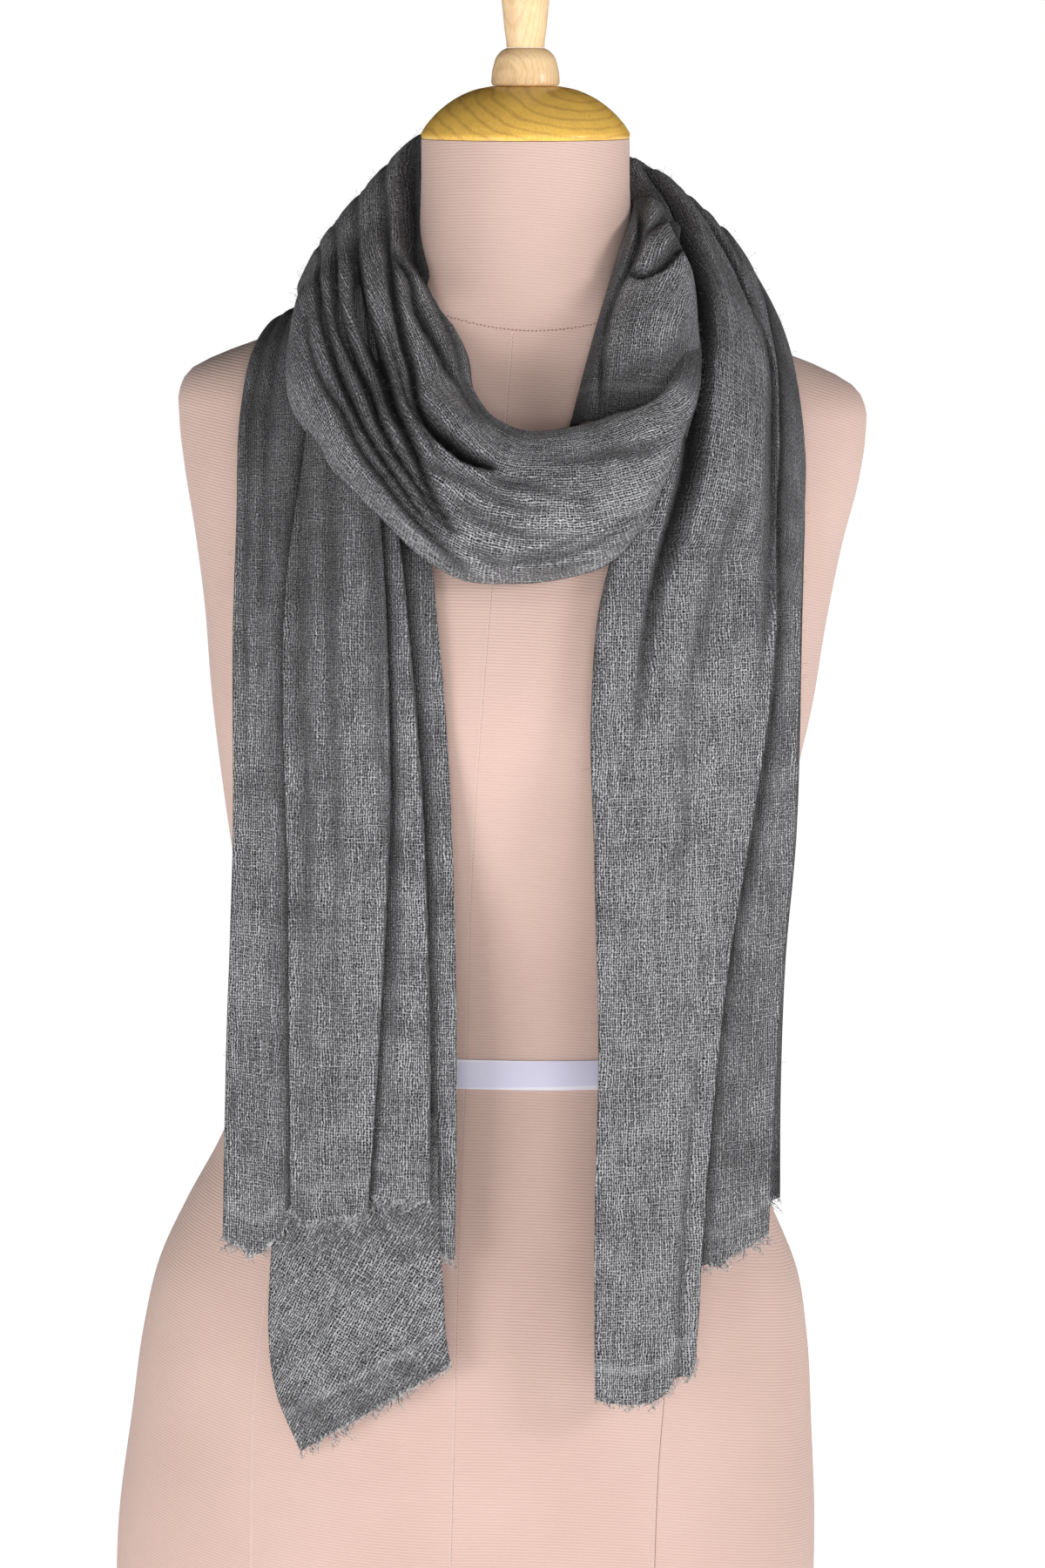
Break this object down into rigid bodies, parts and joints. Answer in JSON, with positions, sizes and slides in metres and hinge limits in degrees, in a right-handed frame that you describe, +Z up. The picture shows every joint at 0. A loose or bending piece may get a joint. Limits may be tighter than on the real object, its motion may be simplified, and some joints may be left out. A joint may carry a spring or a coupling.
{
  "type": "wool shawl on a limbless dress form",
  "caption": "Long open-weave wool shawl wound once round the neck of a limbless jersey-covered dress form, with both fringed ends hanging in flat folds at the front.",
  "frame": {"origin": "middle of the dress form's flat base", "axes": "+Z up along the form, -Y towards its front, +X to the right of someone who looks at the front"},
  "size_m": [0.39, 0.2504, 0.8807],
  "materials": {
    "jersey": "fine ribbed knit, matte",
    "satin": "satin ribbon",
    "varnished_pine": "turned and varnished",
    "pale_pine": "turned, thin varnish",
    "wool": "open gauze weave, soft and matte"
  },
  "bodies": {
    "root": {"form_torso": "jersey", "waist_tape": "satin", "neck_cap": "varnished_pine", "finial_collar": "pale_pine", "finial_stem": "pale_pine", "shawl_inner_wrap": "wool", "shawl_front_cowl": "wool", "shawl_outer_wrap": "wool", "shawl_left_end": "wool", "shawl_left_end_fringe": "wool", "shawl_left_corner": "wool", "shawl_left_corner_fringe": "wool", "shawl_right_end": "wool", "shawl_right_end_fringe": "wool"}
  },
  "joints": []
}
